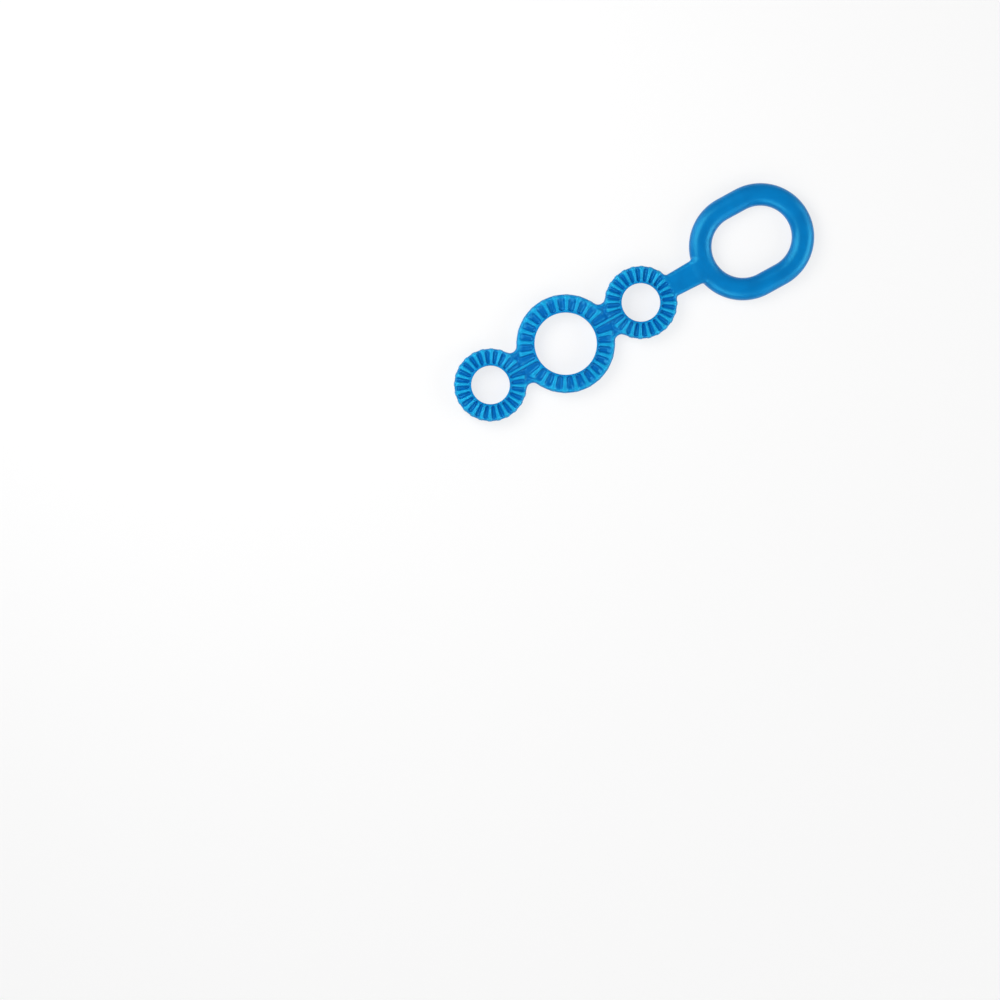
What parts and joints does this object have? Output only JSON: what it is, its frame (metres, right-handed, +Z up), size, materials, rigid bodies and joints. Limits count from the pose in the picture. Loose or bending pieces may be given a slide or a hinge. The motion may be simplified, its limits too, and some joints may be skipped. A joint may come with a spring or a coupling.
{
  "type": "bubble wand",
  "caption": "Flat moulded bubble wand: a row of tangent blowing rings with radial ribs on both faces, a short flat stem and an obround finger loop.",
  "frame": {"origin": "on the surface that the wand lies on, under the middle of its overall length and width", "axes": "+X along the wand from the tip ring to the finger loop, +Y across it, +Z up out of its flat face"},
  "size_m": [0.0756, 0.0204, 0.0034],
  "materials": {
    "wand_plastic": "smooth glossy moulded polypropylene, bright blue right through"
  },
  "bodies": {
    "root": {"tip_ring": "wand_plastic", "tip_link": "wand_plastic", "centre_ring": "wand_plastic", "near_link": "wand_plastic", "near_ring": "wand_plastic", "stem": "wand_plastic", "finger_loop": "wand_plastic"}
  },
  "joints": []
}
